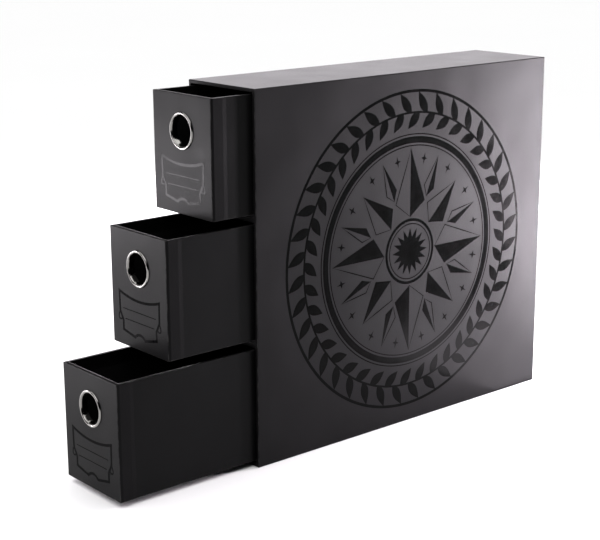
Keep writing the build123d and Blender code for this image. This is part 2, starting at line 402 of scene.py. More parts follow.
def soft_touch_paper(name, colour, papers, low, high, slopes=()):
    """Matt black soft-touch paper: fine grain, faint clouds, burnished rubs and edges worn by handling.

    A slope is where along Y the surface starts to fall, where it has fallen, and how far it falls.
    """
    material, tree, shader, place = new_finish(name, colour, COAT_ROUGHNESS, ior=COAT_IOR)
    clouds = noise(tree, place, COAT_CLOUDS, 3)
    fibres = noise(tree, place, PAPER_FIBRES, 2)
    tone = mottled(tree, spread(tree, clouds, *MOST, 0, 1), colour, 0.88, 1.12)
    tone = shaded(tree, spread(tree, fibres, 0.62, 0.78, 0, 0.35), tone, toned(colour, 1.6))

    edge = spread(tree, edge_distance(tree, place, low, high), 0, papers.rub_width, 1, 0)
    patches = spread(tree, noise(tree, place, WORN_PATCHES, 3), 0.42, 0.66, 0.1, 1)
    worn = calculate(tree, "MULTIPLY", edge, patches)
    tone = shaded(tree, calculate(tree, "MULTIPLY", worn, RUBBED_SHARE), tone, (*papers.rubbed_colour, 1))
    tree.links.new(tone, shader.inputs["Base Color"])

    rubs = spread(tree, noise(tree, place, RUB_MARKS, 2, RUB_STRETCH), 0.60, 0.76, 0, 1)
    rubs = calculate(tree, "MULTIPLY", rubs, spread(tree, clouds, 0.5, 0.7, 0, 1))
    matt = spread(tree, clouds, *MOST, COAT_ROUGHNESS - 0.015, COAT_ROUGHNESS + 0.015)
    matt = calculate(tree, "SUBTRACT", matt, calculate(tree, "MULTIPLY", rubs, RUB_SHINE))
    matt = calculate(tree, "SUBTRACT", matt, calculate(tree, "MULTIPLY", worn, WEAR_SHINE))
    tree.links.new(matt, shader.inputs["Roughness"])

    waves = noise(tree, place, BOARD_WAVES, 1)
    grain = noise(tree, place, papers.grain, 2)
    along = add_node(tree, "ShaderNodeSeparateXYZ", {"Vector": place}).outputs["Y"]
    folds = [(spread(tree, along, start, end, 1, 0), depth) for start, end, depth in slopes]
    bumps(tree, shader, (waves, WAVE_DEPTH), *folds, (fibres, FIBRE_DEPTH), (grain, GRAIN_DEPTH))
    return material


def uncoated_paper(name, colour, fibre_size, roughness):
    """Dull dyed paper or card with lighter fibres."""
    material, tree, shader, place = new_finish(name, colour, roughness, ior=UNCOATED_IOR)
    fibres = noise(tree, place, fibre_size, 4, (0.35, 1, 1))
    flecks = noise(tree, place, fibre_size * 0.6, 2, (1, 0.3, 1))
    tone = mottled(tree, spread(tree, fibres, 0.35, 0.7, 0, 1), colour, 0.75, 1.3)
    tone = shaded(tree, spread(tree, flecks, 0.66, 0.74, 0, 0.5), tone, toned(colour, 2.4))
    tree.links.new(tone, shader.inputs["Base Color"])
    dull = spread(tree, fibres, *MOST, roughness - 0.05, roughness + 0.05)
    tree.links.new(dull, shader.inputs["Roughness"])
    bumps(tree, shader, (fibres, FUZZ_DEPTH), (flecks, FLECK_DEPTH))
    return material


def grey_board(papers):
    """Pressed grey board: layered pulp with dark and pale flecks."""
    colour = papers.board_colour
    material, tree, shader, place = new_finish("grey_board", colour, BOARD_ROUGHNESS)
    pulp = noise(tree, place, PULP, 5)
    flecks = noise(tree, place, PULP_FLECKS, 2)
    tone = mottled(tree, spread(tree, pulp, *MOST, 0, 1), colour, 0.8, 1.15)
    tone = shaded(tree, spread(tree, flecks, 0.68, 0.75, 0, 0.8), tone, toned(colour, 0.3))
    tone = shaded(tree, spread(tree, flecks, 0.3, 0.24, 0, 0.6), tone, toned(colour, 1.8))
    tree.links.new(tone, shader.inputs["Base Color"])
    bumps(tree, shader, (pulp, PULP_DEPTH), (flecks, PULP_FLECK_DEPTH))
    return material


def gloss_varnish(name, colour, roughness, ior):
    """Spot varnish: a smooth gloss film that is a little uneven over the paper."""
    material, tree, shader, place = new_finish(name, colour, roughness, ior=ior)
    flow = noise(tree, place, VARNISH_FLOW, 2)
    peel = noise(tree, place, VARNISH_PEEL, 1)
    uneven = spread(tree, flow, *MOST, roughness * 0.8, roughness * 1.25)
    tree.links.new(uneven, shader.inputs["Roughness"])
    tone = mottled(tree, flow, colour, 0.8, 1.2)
    tree.links.new(tone, shader.inputs["Base Color"])
    bumps(tree, shader, (flow, FLOW_DEPTH), (peel, PEEL_DEPTH))
    return material


def polished_nickel(eyelet):
    """Bright plating with hairline polishing marks and faint handling haze."""
    colour = eyelet.colour
    material, tree, shader, place = new_finish("polished_nickel", colour, NICKEL_ROUGHNESS, metallic=1.0)
    haze = noise(tree, place, NICKEL_HAZE, 3)
    hairlines = noise(tree, place, HAIRLINES, 2, (1, 0.12, 1))
    polish = spread(tree, haze, 0.35, 0.75, NICKEL_ROUGHNESS - 0.02, NICKEL_ROUGHNESS + 0.03)
    tree.links.new(polish, shader.inputs["Roughness"])
    tree.links.new(mottled(tree, haze, colour, 0.95, 1.03), shader.inputs["Base Color"])
    bumps(tree, shader, (hairlines, HAIRLINE_DEPTH))
    return material


def brushed_steel(eyelet):
    """Plain washer steel, brushed flat, with a little tarnish."""
    colour = tuple(channel * STEEL_SHARE for channel in eyelet.colour)
    material, tree, shader, place = new_finish("brushed_steel", colour, STEEL_ROUGHNESS, metallic=1.0)
    strokes = noise(tree, place, STEEL_STROKES, 3, (0.08, 1, 1))
    tarnish = noise(tree, place, STEEL_TARNISH, 3)
    brushed = spread(tree, strokes, *MOST, STEEL_ROUGHNESS - 0.08, STEEL_ROUGHNESS + 0.08)
    tree.links.new(brushed, shader.inputs["Roughness"])
    tone = mottled(tree, tarnish, colour, 0.85, 1.1)
    tree.links.new(tone, shader.inputs["Base Color"])
    bumps(tree, shader, (strokes, STROKE_DEPTH))
    return material


def give_finish(piece, material):
    """Put one material on a whole piece."""
    if piece.data.materials:
        for index in range(len(piece.data.materials)):
            piece.data.materials[index] = material
    else:
        piece.data.materials.append(material)


def finish_nodes(material, *names):
    """Put one material on nodes of the frame."""
    for name in names:
        give_finish(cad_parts[name], material)


def finish_case(papers):
    """The case's paper, sheets, lining, shelves, cards and boards."""
    wrap = soft_touch_paper("case_wrap_paper", papers.case_colour, papers, CASE_LOW, CASE_HIGH)
    finish_nodes(wrap, "case_wrap")
    for sheet in ("base", "rear"):
        node = f"case_{sheet}_sheet"
        paper = soft_touch_paper(f"{sheet}_sheet_paper", papers.sheet_colour, papers, *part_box(node))
        finish_nodes(paper, node)
    for shelf in SHELVES:
        node = f"{shelf}_shelf_wrap"
        paper = soft_touch_paper(f"{shelf}_shelf_paper", papers.drawer_colour, papers, *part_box(node))
        finish_nodes(paper, node)
    lining = uncoated_paper("lining_paper", papers.lining_colour, LINING_FIBRES, LINING_ROUGHNESS)
    card = uncoated_paper("floor_card", papers.card_colour, CARD_FIBRES, CARD_ROUGHNESS)
    finish_nodes(lining, "case_lining", *(drawer_node(drawer, "lining") for drawer in DRAWERS))
    finish_nodes(card, *(f"{drawer}_bay_floor_card" for drawer in DRAWERS))
    board = grey_board(papers)
    finish_nodes(board, *(f"case_{side}_board" for side in CASE_BOARDS))
    finish_nodes(board, *(f"{shelf}_shelf_board" for shelf in SHELVES))
    for drawer in DRAWERS:
        finish_nodes(board, *(drawer_node(drawer, f"{side}_board") for side in DRAWER_BOARDS))


def finish_drawer(drawer, papers):
    """One drawer's front paper and body paper, each worn at the drawer's own edges."""
    low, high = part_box(drawer_node(drawer, "body_wrap"))
    front_low, front_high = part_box(drawer_node(drawer, "front_wrap"))
    low = Vector(map(min, low, front_low))
    high = Vector(map(max, high, front_high))
    corner = (front_low.y + papers.corner_width, front_low.y, papers.corner_depth)
    flap_end = (front_high.y - papers.flap_width, front_high.y, papers.flap_depth)
    slopes = (corner, flap_end)
    front = soft_touch_paper(f"{drawer}_front_paper", papers.front_colour, papers, low, high, slopes)
    body = soft_touch_paper(f"{drawer}_body_paper", papers.drawer_colour, papers, low, high)
    finish_nodes(front, drawer_node(drawer, "front_wrap"))
    finish_nodes(body, drawer_node(drawer, "body_wrap"))


# ---------------------------------------------------------------- pieces

def new_piece(name, data):
    """An object at the scene's origin for a mesh, a curve, a light or a camera."""
    piece = bpy.data.objects.new(name, data)
    bpy.context.scene.collection.objects.link(piece)
    return piece


def plain_mesh(piece, name):
    """The mesh that a piece's modifiers make, with its faces turned outwards and no modifier needed."""
    depsgraph = bpy.context.evaluated_depsgraph_get()
    mesh = bpy.data.meshes.new_from_object(piece.evaluated_get(depsgraph), depsgraph=depsgraph)
    mesh.name = name
    form = bmesh.new()
    form.from_mesh(mesh)
    bmesh.ops.recalc_face_normals(form, faces=form.faces)
    form.to_mesh(mesh)
    form.free()
    return mesh


def placing(origin, right, up):
    """The matrix that carries a flat drawing to a place, given where its right and its up then point."""
    out = right.cross(up)
    turn = Matrix((right, up, out)).transposed().to_4x4()
    return Matrix.Translation(origin) @ turn


# ---------------------------------------------------------------- geometry trees

WELD = 1e-6                     # points closer than this are one
FINE_LAYER = 0.8                # a line's film is this share of a filled shape's, so that the two never fight
LEAF_STEPS = 28                 # points round a leaf
LEAF_TAPER = 0.35               # how much fuller a leaf is at its stalk than at its tip
FULL_TURN = 2 * math.pi
LENGTH, COUNT, MATERIAL = "NodeSocketFloat", "NodeSocketInt", "NodeSocketMaterial"


def new_tree(name, sizes):
    """A geometry tree with one input for each named size, and its inputs."""
    tree = bpy.data.node_groups.new(name, "GeometryNodeTree")
    tree.interface.new_socket("Geometry", in_out="INPUT", socket_type="NodeSocketGeometry")
    for label, kind in sizes.items():
        tree.interface.new_socket(label, in_out="INPUT", socket_type=kind)
    tree.interface.new_socket("Geometry", in_out="OUTPUT", socket_type="NodeSocketGeometry")
    return tree, tree.nodes.new("NodeGroupInput").outputs


def joined(tree, *shapes):
    """Several shapes as one."""
    node = add_node(tree, "GeometryNodeJoinGeometry")
    for shape in shapes:
        tree.links.new(shape, node.inputs[0])
    return node.outputs[0]


def close_tree(tree, given, shape, smooth):
    """End a tree with a shape: shade it, make instances real and give it the material."""
    inputs = {"Geometry": shape, "Shade Smooth": smooth}
    shape = add_node(tree, "GeometryNodeSetShadeSmooth", inputs).outputs[0]
    shape = add_node(tree, "GeometryNodeRealizeInstances", {"Geometry": shape}).outputs[0]
    inputs = {"Geometry": shape, "Material": given["Material"]}
    shape = add_node(tree, "GeometryNodeSetMaterial", inputs).outputs[0]
    tree.links.new(shape, tree.nodes.new("NodeGroupOutput").inputs["Geometry"])
    return tree


def add_print(tree, given, shape):
    """End a tree with a shape that is added, with crisp edges, to what came in."""
    return close_tree(tree, given, joined(tree, given["Geometry"], shape), False)


def add_tree(piece, tree, sizes):
    """Put a tree on a piece and set its inputs."""
    modifier = piece.modifiers.new(tree.name, "NODES")
    modifier.node_group = tree
    for item in tree.interface.items_tree:
        if item.in_out == "INPUT" and item.name in sizes:
            modifier[item.identifier] = sizes[item.name]


def point(tree, x, y=0.0, z=0.0):
    """A point or an offset."""
    return add_node(tree, "ShaderNodeCombineXYZ", {"X": x, "Y": y, "Z": z}).outputs[0]


def filled_film(tree, curve, thickness):
    """A closed flat curve filled and raised to a closed film."""
    flat = add_node(tree, "GeometryNodeFillCurve", {"Curve": curve}, mode="TRIANGLES").outputs[0]
    inputs = {"Mesh": flat, "Offset": point(tree, 0, 0, thickness), "Individual": False}
    raised = add_node(tree, "GeometryNodeExtrudeMesh", inputs).outputs[0]
    under = add_node(tree, "GeometryNodeFlipFaces", {"Mesh": flat}).outputs[0]
    inputs = {"Geometry": joined(tree, raised, under), "Distance": WELD}
    return add_node(tree, "GeometryNodeMergeByDistance", inputs).outputs[0]


def line_film(tree, curve, width, thickness):
    """A film of one width along a flat curve."""
    upright = add_node(tree, "GeometryNodeSetCurveNormal", {"Curve": curve}, mode="Z_UP").outputs[0]
    inputs = {"Width": width, "Height": thickness}
    section = add_node(tree, "GeometryNodeCurvePrimitiveQuadrilateral", inputs).outputs[0]
    inputs = {"Curve": upright, "Profile Curve": section, "Fill Caps": True}
    band = add_node(tree, "GeometryNodeCurveToMesh", inputs).outputs[0]
    lift = point(tree, 0, 0, calculate(tree, "MULTIPLY", thickness, 0.5))
    return add_node(tree, "GeometryNodeTransform", {"Geometry": band, "Translation": lift}).outputs[0]


def round_about(tree, shape, count, turn):
    """Copies of a shape, evenly turned about the medallion's centre."""
    index = tree.nodes.new("GeometryNodeInputIndex").outputs[0]
    step = calculate(tree, "DIVIDE", FULL_TURN, count)
    angle = calculate(tree, "ADD", calculate(tree, "MULTIPLY", index, step), turn)
    points = add_node(tree, "GeometryNodePoints", {"Count": count}).outputs[0]
    inputs = {"Points": points, "Instance": shape, "Rotation": point(tree, 0, 0, angle)}
    return add_node(tree, "GeometryNodeInstanceOnPoints", inputs).outputs[0]


def rays_tree():
    """Compass rays: each has one half filled and the other half outlined."""
    tree, given = new_tree("Compass rays", {
        "Count": COUNT, "Turn": LENGTH, "Heel": LENGTH, "Waist": LENGTH, "Half width": LENGTH,
        "Tip": LENGTH, "Line": LENGTH, "Film": LENGTH, "Material": MATERIAL})
    line_depth = calculate(tree, "MULTIPLY", given["Film"], FINE_LAYER)
    halfway = calculate(tree, "MULTIPLY", calculate(tree, "ADD", given["Waist"], given["Tip"]), 0.5)
    halves = []
    for side in (-1, 1):
        widest = calculate(tree, "MULTIPLY", given["Half width"], side)
        inputs = {
            "Point 1": point(tree, given["Heel"]),
            "Point 2": point(tree, given["Waist"], widest),
            "Point 3": point(tree, halfway, calculate(tree, "MULTIPLY", widest, 0.5)),
            "Point 4": point(tree, given["Tip"]),
        }
        outline = add_node(tree, "GeometryNodeCurvePrimitiveQuadrilateral", inputs, mode="POINTS").outputs[0]
        if side < 0:
            halves.append(filled_film(tree, outline, given["Film"]))
        else:
            halves.append(line_film(tree, outline, given["Line"], line_depth))
    ray = joined(tree, *halves)
    return add_print(tree, given, round_about(tree, ray, given["Count"], given["Turn"]))


def ring_tree():
    """A plain ring."""
    tree, given = new_tree("Ring", {
        "Radius": LENGTH, "Line": LENGTH, "Steps": COUNT, "Film": LENGTH, "Material": MATERIAL})
    inputs = {"Resolution": given["Steps"], "Radius": given["Radius"]}
    circle = add_node(tree, "GeometryNodeCurvePrimitiveCircle", inputs).outputs[0]
    return add_print(tree, given, line_film(tree, circle, given["Line"], given["Film"]))


def leaves_tree():
    """Filled leaves set round a ring: each leans over from the ring, bends, and is widest near its stalk."""
    tree, given = new_tree("Ring of leaves", {
        "Count": COUNT, "Turn": LENGTH, "Radius": LENGTH, "Length": LENGTH, "Width": LENGTH, "Lean": LENGTH,
        "Bend": LENGTH, "Film": LENGTH, "Material": MATERIAL})
    inputs = {"Resolution": LEAF_STEPS, "Radius": 1.0}
    circle = add_node(tree, "GeometryNodeCurvePrimitiveCircle", inputs).outputs[0]
    place = tree.nodes.new("GeometryNodeInputPosition").outputs[0]
    x, y, _ = add_node(tree, "ShaderNodeSeparateXYZ", {"Vector": place}).outputs
    share = calculate(tree, "MULTIPLY", calculate(tree, "ADD", x, 1.0), 0.5)
    pointed = calculate(tree, "MULTIPLY", y, calculate(tree, "ABSOLUTE", y))
    fullness = calculate(tree, "SUBTRACT", 1.0, calculate(tree, "MULTIPLY", x, LEAF_TAPER))
    half_width = calculate(tree, "MULTIPLY", given["Width"], 0.5)
    across = calculate(tree, "MULTIPLY", calculate(tree, "MULTIPLY", pointed, fullness), half_width)
    sweep = calculate(tree, "MULTIPLY", calculate(tree, "MULTIPLY", share, share), given["Bend"])
    along = calculate(tree, "MULTIPLY", share, given["Length"])
    inputs = {"Geometry": circle, "Position": point(tree, along, calculate(tree, "ADD", across, sweep))}
    outline = add_node(tree, "GeometryNodeSetPosition", inputs).outputs[0]
    inputs = {
        "Geometry": filled_film(tree, outline, given["Film"]),
        "Translation": point(tree, given["Radius"]),
        "Rotation": point(tree, 0, 0, given["Lean"]),
    }
    placed = add_node(tree, "GeometryNodeTransform", inputs).outputs[0]
    return add_print(tree, given, round_about(tree, placed, given["Count"], given["Turn"]))


def stars_tree():
    """Stars set round a ring, or one star at its centre."""
    tree, given = new_tree("Ring of stars", {
        "Count": COUNT, "Turn": LENGTH, "Radius": LENGTH, "Points": COUNT, "Inner size": LENGTH,
        "Outer size": LENGTH, "Stretch": LENGTH, "Film": LENGTH, "Material": MATERIAL})
    inputs = {
        "Points": given["Points"],
        "Inner Radius": given["Inner size"],
        "Outer Radius": given["Outer size"],
    }
    star = add_node(tree, "GeometryNodeCurveStar", inputs).outputs[0]
    inputs = {
        "Geometry": filled_film(tree, star, given["Film"]),
        "Translation": point(tree, given["Radius"]),
        "Scale": point(tree, given["Stretch"], 1, 1),
    }
    placed = add_node(tree, "GeometryNodeTransform", inputs).outputs[0]
    return add_print(tree, given, round_about(tree, placed, given["Count"], given["Turn"]))


# ---------------------------------------------------------------- printed ornament

RING_STEPS = 360
WREATH = 0.868                  # radius of the wreath's stem as a share of the medallion's
RINGS = (                       # radius as a share of the medallion's, which line, how many lines wide
    (1.0, "bold_line", 1.0),
    (WREATH, "bold_line", 0.7),
    (0.735, "fine_line", 1.0),
    (0.700, "bold_line", 2.2),
    (0.665, "fine_line", 1.0),
    (0.200, "bold_line", 1.0),
    (0.175, "fine_line", 1.0),
)
LEAF_ROWS = (                   # turn in leaf steps, lean in degrees, sizes as radius shares
    (0.0, 46, {"Radius": WREATH, "Width": 0.062, "Length": 0.155, "Bend": -0.020}),
    (0.5, 134, {"Radius": WREATH, "Width": 0.062, "Length": 0.135, "Bend": 0.012}),
)
RAYS = (                        # how many, turn in degrees, sizes as radius shares
    (4, 0.0, {"Heel": 0.22, "Waist": 0.31, "Half width": 0.125, "Tip": 0.645}),
    (4, 45.0, {"Heel": 0.23, "Waist": 0.31, "Half width": 0.100, "Tip": 0.560}),
    (8, 22.5, {"Heel": 0.36, "Waist": 0.42, "Half width": 0.045, "Tip": 0.620}),
)
STARS = (                       # how many, turn in degrees, points, stretch, sizes as radius shares
    (16, 11.25, 4, 1.4, {"Radius": 0.585, "Inner size": 0.008, "Outer size": 0.026}),
    (1, 0.0, 16, 1.0, {"Radius": 0.0, "Inner size": 0.090, "Outer size": 0.150}),
)


def by_radius(radius, shares):
    """Sizes that are given as shares of the medallion's radius."""
    return {name: radius * share for name, share in shares.items()}


def medallion(ornament, material):
    """The compass medallion in its leaf wreath as one flat film, drawn round its own centre."""
    radius = ornament.radius
    common = {"Film": ornament.film, "Material": material, "Line": ornament.fine_line, "Steps": RING_STEPS}
    draft = new_piece("medallion_draft", bpy.data.meshes.new("medallion_draft"))

    ring = ring_tree()
    fine_film = ornament.film * FINE_LAYER
    for share, line, count in RINGS:
        width = getattr(ornament, line) * count
        add_tree(draft, ring, {**common, "Film": fine_film, "Radius": radius * share, "Line": width})

    leaves = leaves_tree()
    leaf_step = FULL_TURN / ornament.leaves
    for turn, lean, shares in LEAF_ROWS:
        add_tree(draft, leaves, {
            **common, **by_radius(radius, shares), "Count": ornament.leaves, "Turn": leaf_step * turn,
            "Lean": math.radians(lean)})

    rays = rays_tree()
    for count, turn, shares in RAYS:
        add_tree(draft, rays, {
            **common, **by_radius(radius, shares), "Count": count, "Turn": math.radians(turn)})

    stars = stars_tree()
    for count, turn, points, stretch, shares in STARS:
        add_tree(draft, stars, {
            **common, **by_radius(radius, shares), "Count": count, "Turn": math.radians(turn),
            "Points": points, "Stretch": stretch})

    mesh = plain_mesh(draft, "medallion")
    bpy.data.objects.remove(draft)
    return mesh


def print_ornament(ornament):
    """The medallion on the case's right and left sides."""
    material = gloss_varnish("ornament_varnish", ornament.colour, ORNAMENT_ROUGHNESS, ORNAMENT_IOR)
    flat = medallion(ornament, material)
    for side, x, rearwards in (("right", CASE_HIGH.x, 1), ("left", CASE_LOW.x, -1)):
        mesh = flat.copy()
        centre = Vector((x, CASE_MIDDLE.y, ornament.height))
        mesh.transform(placing(centre, Vector((0, rearwards, 0)), UP))
        piece = new_piece(f"{side}_side_ornament", mesh)
        give_finish(piece, material)
        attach(piece, CASE)
    bpy.data.meshes.remove(flat)


# ---------------------------------------------------------------- label plaques

# Heights are over a drawer's lower edge. A share is one of the plaque's half width.
WAIST_SHARE = 0.985             # half width at the waist
HIP_SHARE, HIP_DROP = 0.83, 0.0075      # where the sides turn straight, this far under the waist
FOOT_SHARE, FOOT_HEIGHT = 0.835, 0.0133
ARCH_SHARE, ARCH_RISE, ARCH_HEIGHT = 0.25, 0.0031, 0.0130       # the arch in the foot's middle
EYE_SHARE, EYE_LIFT = 0.975, 0.0006     # where an eye's tip is, and how far over the waist
EYE_LINE = 0.60                 # width of an eye's line as a share of the outline's
WRITING_LINES = ((0.0315, 0.0230), (0.0230, 0.0205))    # height and half length of each
DROP_FULLNESS, DROP_POWER = 0.62, 1.5   # how round a drop is, and how far its tip is drawn out
BROW_STEPS, ARCH_STEPS, EYE_STEPS = 32, 16, 28


def arc(centre, radius, start, end, steps):
    """Points along an arc, angles in degrees."""
    points = []
    for step in range(steps + 1):
        angle = math.radians(start + (end - start) * step / steps)
        points.append(Vector((centre[0] + radius * math.cos(angle), centre[1] + radius * math.sin(angle))))
    return points


def hollow_arc(half, rise, middle, steps):
    """A shallow arc from left to right: its ends are a rise above its middle, or below it."""
    radius = (half * half + rise * rise) / (2 * abs(rise))
    swing = math.degrees(math.asin(half / radius))
    if rise > 0:
        return arc((0, middle + radius), radius, 270 - swing, 270 + swing, steps)
    return arc((0, middle - radius), radius, 90 + swing, 90 - swing, steps)


def drop(tip, width, height, steps):
    """Points round a drop that hangs from its tip."""
    points = []
    for step in range(steps):
        angle = math.radians(360 * (step + 0.5) / steps)
        across = math.sin(angle) * math.sin(angle / 2) ** DROP_POWER * width * DROP_FULLNESS
        points.append(Vector((tip[0] + across, tip[1] - height * (1 - math.cos(angle)) / 2)))
    return points


def band(form, path, width, depth, closed):
    """A flat closed band along a path, with mitred corners, raised by a depth."""
    count = len(path)
    rows = []
    for index, spot in enumerate(path):
        ways = []
        if closed or index > 0:
            ways.append((spot - path[index - 1]).normalized())
        if closed or index < count - 1:
            ways.append((path[(index + 1) % count] - spot).normalized())
        sides = [Vector((-way.y, way.x)) for way in ways]
        middle = (sides[0] + sides[-1]) / (1 + sides[0].dot(sides[-1]))
        reach = middle * width / 2
        edges = (spot + reach, 0), (spot - reach, 0), (spot - reach, depth), (spot + reach, depth)
        rows.append([form.verts.new((place.x, place.y, height)) for place, height in edges])
    pairs = list(zip(rows, rows[1:] + rows[:1])) if closed else list(zip(rows, rows[1:]))
    for first, second in pairs:
        for corner in range(4):
            following = (corner + 1) % 4
            form.faces.new((first[corner], first[following], second[following], second[corner]))
    if not closed:
        form.faces.new(rows[0])
        form.faces.new(reversed(rows[-1]))


def plaque_outline(plaque):
    """The plaque's outline: hollow brow, straight sides that turn in at a waist, and an arched foot."""
    half, waist = plaque.half_width, plaque.waist_height
    brow = hollow_arc(half, plaque.corner_height - plaque.brow_height, plaque.brow_height, BROW_STEPS)
    side = [
        Vector((half * WAIST_SHARE, waist)),
        Vector((half * HIP_SHARE, waist - HIP_DROP)),
        Vector((half * FOOT_SHARE, FOOT_HEIGHT)),
    ]
    arch = hollow_arc(half * ARCH_SHARE, -ARCH_RISE, ARCH_HEIGHT, ARCH_STEPS)
    mirrored = [Vector((-spot.x, spot.y)) for spot in reversed(side)]
    return brow + side + list(reversed(arch)) + mirrored


def draw_plaque(plaque, material):
    """The plaque as a flat film, drawn up from the middle of a drawer's lower edge."""
    form = bmesh.new()
    band(form, plaque_outline(plaque), plaque.line, plaque.film, True)
    fine_film = plaque.film * FINE_LAYER
    for side in (-1, 1):
        tip = (side * plaque.half_width * EYE_SHARE, plaque.waist_height + EYE_LIFT)
        eye = drop(tip, plaque.eye_width, plaque.eye_height, EYE_STEPS)
        band(form, eye, plaque.line * EYE_LINE, fine_film, True)
    for height, half in WRITING_LINES:
        rule = [Vector((-half, height)), Vector((half, height))]
        band(form, rule, plaque.rule, fine_film, False)
    bmesh.ops.recalc_face_normals(form, faces=form.faces)
    mesh = bpy.data.meshes.new("plaque")
    form.to_mesh(mesh)
    form.free()
    mesh.materials.append(material)
    return mesh


def print_plaques(plaque):
    """A plaque on each drawer's front."""
    varnish = gloss_varnish("plaque_varnish", plaque.colour, PLAQUE_ROUGHNESS, PLAQUE_IOR)
    flat = draw_plaque(plaque, varnish)
    for drawer in DRAWERS:
        low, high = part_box(drawer_node(drawer, "front_wrap"))
        mesh = flat.copy()
        foot = Vector(((low.x + high.x) / 2, low.y, low.z))
        mesh.transform(placing(foot, RIGHT, UP))
        piece = new_piece(f"{drawer}_drawer_plaque", mesh)
        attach(piece, drawer_body(drawer))
    bpy.data.meshes.remove(flat)


# ---------------------------------------------------------------- eyelets

CROWN_SHARE, MOUTH_SHARE = 0.44, 0.56   # of the flange: its outer rounding, and its slope into the bore
CROWN_STEPS, MOUTH_STEPS, CURL_STEPS = 14, 12, 12
CURL_RADIUS = 0.0008            # the rear rim that is rolled over the washer
CURL_TUCK = 0.0004              # how far the roll's end stands off the barrel
FRONT_SEAT = 0.0002             # how deep the flange's edge beds into the front paper
SEAT_SHARE = 0.93               # where that edge turns in, as a share of the flange


def spin_tree():
    """A closed section spun about the Z axis."""
    tree, given = new_tree("Spun section", {"Radius": LENGTH, "Steps": COUNT, "Material": MATERIAL})
    inputs = {"Resolution": given["Steps"], "Radius": given["Radius"]}
    path = add_node(tree, "GeometryNodeCurvePrimitiveCircle", inputs).outputs[0]
    upright = add_node(tree, "GeometryNodeSetCurveNormal", {"Curve": path}, mode="Z_UP").outputs[0]
    inputs = {"Curve": upright, "Profile Curve": given["Geometry"]}
    spun = add_node(tree, "GeometryNodeCurveToMesh", inputs).outputs[0]
    return close_tree(tree, given, spun, True)


def eyelet_section(flange, dome, depth, sheet):
    """Half an eyelet cut through its axis: x runs out from the bore, y runs back from the drawer's front."""
    crown_radius, mouth_reach = flange * CROWN_SHARE, flange * MOUTH_SHARE
    crown = arc((mouth_reach, -dome + crown_radius), crown_radius, 0, -90, CROWN_STEPS)
    mouth = []
    for step in range(1, MOUTH_STEPS + 1):
        angle = math.radians(90 * step / MOUTH_STEPS)
        inwards = mouth_reach * (1 - math.sin(angle))
        mouth.append(Vector((inwards, -dome + (dome + sheet) * (1 - math.cos(angle)))))
    curl_middle = depth - CURL_RADIUS
    curl = arc((CURL_RADIUS, curl_middle), CURL_RADIUS, 180, 0, CURL_STEPS)
    back = [
        Vector((sheet + CURL_TUCK, curl_middle)),
        Vector((sheet, curl_middle - CURL_TUCK)),
        Vector((sheet, FRONT_SEAT)),
        Vector((flange * SEAT_SHARE, FRONT_SEAT)),
    ]
    return crown + mouth + curl + back


def eyelet_mesh(name, eyelet, section, tree, nickel):
    """An eyelet's section spun into a closed mesh round its own axis."""
    curve = bpy.data.curves.new("eyelet_section", "CURVE")
    spline = curve.splines.new("POLY")
    spline.points.add(len(section) - 1)
    for spot, place in zip(spline.points, section):
        spot.co = (place.x, place.y, 0, 1)
    spline.use_cyclic_u = True
    draft = new_piece("eyelet_draft", curve)
    add_tree(draft, tree, {"Radius": eyelet.bore, "Steps": eyelet.steps, "Material": nickel})
    mesh = plain_mesh(draft, name)
    bpy.data.objects.remove(draft)
    return mesh


def set_eyelets(eyelet):
    """A spun eyelet in each drawer's front, in place of the plain one."""
    nickel = polished_nickel(eyelet)
    tree = spin_tree()
    for drawer in DRAWERS:
        node = drawer_node(drawer, "eyelet")
        low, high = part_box(node)
        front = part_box(drawer_node(drawer, "front_wrap"))[0].y
        flange = (high.x - low.x) / 2 - eyelet.bore
        section = eyelet_section(flange, front - low.y, high.y - front, eyelet.sheet)
        mesh = eyelet_mesh(node, eyelet, section, tree, nickel)
        centre = Vector(((low.x + high.x) / 2, front, (low.z + high.z) / 2))
        mesh.transform(placing(centre, RIGHT, UP))
        piece = new_piece(f"{drawer}_finger_eyelet", mesh)
        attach(piece, drawer_body(drawer))
        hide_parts(node)
    finish_nodes(nickel, *(drawer_node(drawer, "eyelet") for drawer in DRAWERS))
    finish_nodes(brushed_steel(eyelet), *(drawer_node(drawer, "eyelet_washer") for drawer in DRAWERS))


# ---------------------------------------------------------------- studio

SENSOR_WIDTH = 36               # millimetres
FLOOR_ROUGHNESS, FLOOR_IOR = 0.9, 1.2
FLOOR_WASH = 0.7                # grain of the floor's faint wash
OPEN, HALF_OPEN, NARROW = 180, 120, 90  # how wide a panel's beam is, in degrees

